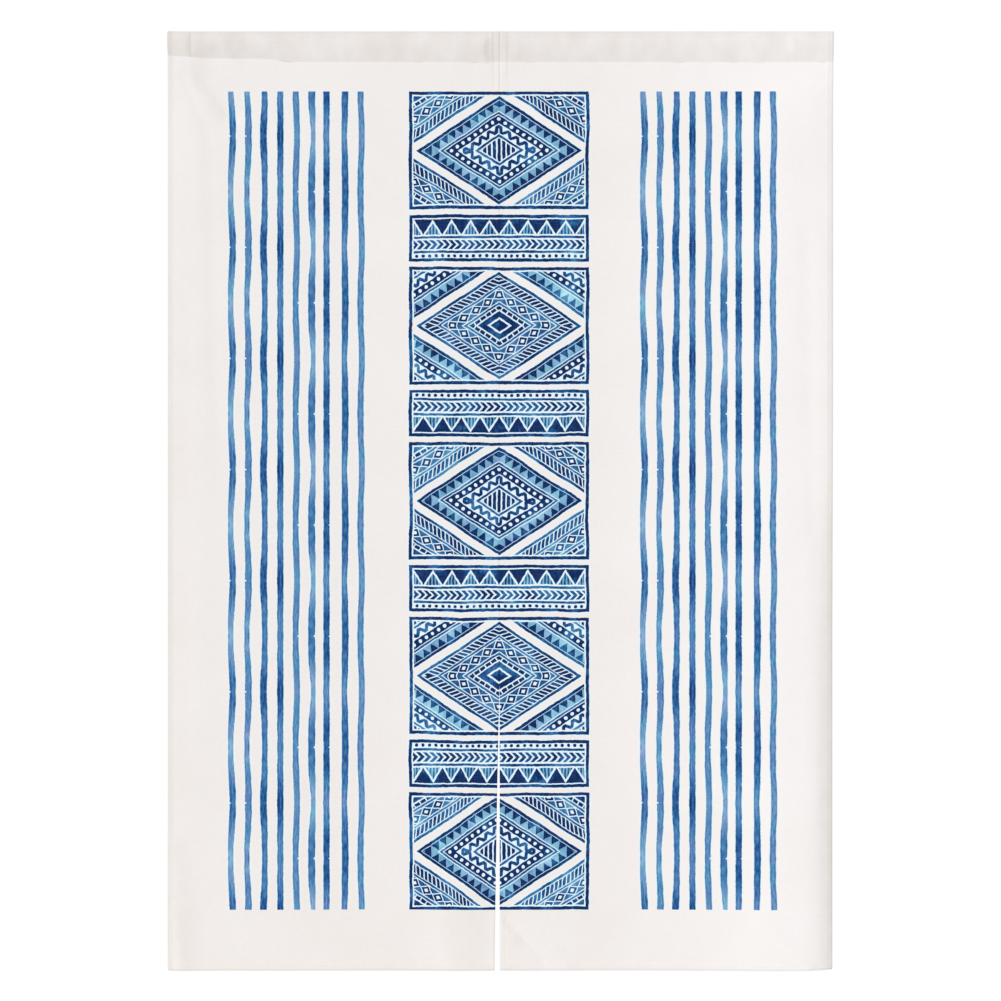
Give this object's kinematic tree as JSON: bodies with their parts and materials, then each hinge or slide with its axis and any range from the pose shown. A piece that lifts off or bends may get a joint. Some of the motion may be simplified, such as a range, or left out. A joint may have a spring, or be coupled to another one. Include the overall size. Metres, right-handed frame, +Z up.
{
  "type": "noren curtain",
  "caption": "Split doorway curtain in off-white cloth with blue printed stripes, an open rod sleeve along its top and a long centre slit.",
  "frame": {"origin": "middle of the top edge of the rod sleeve, from which the curtain hangs", "axes": "+Z up, +X to the right as seen from the front, the printed front faces -Y"},
  "size_m": [0.8509, 0.0187, 1.2001],
  "materials": {
    "printed_cotton": "plain-woven off-white cotton blend with a blue print, matt",
    "sleeve_cotton": "plain-woven off-white cotton blend, unprinted, matt",
    "sewing_thread": "off-white sewing thread"
  },
  "bodies": {
    "root": {"panel_left": "printed_cotton", "panel_right": "printed_cotton", "pocket_left": "sleeve_cotton", "pocket_right": "sleeve_cotton"}
  },
  "joints": []
}
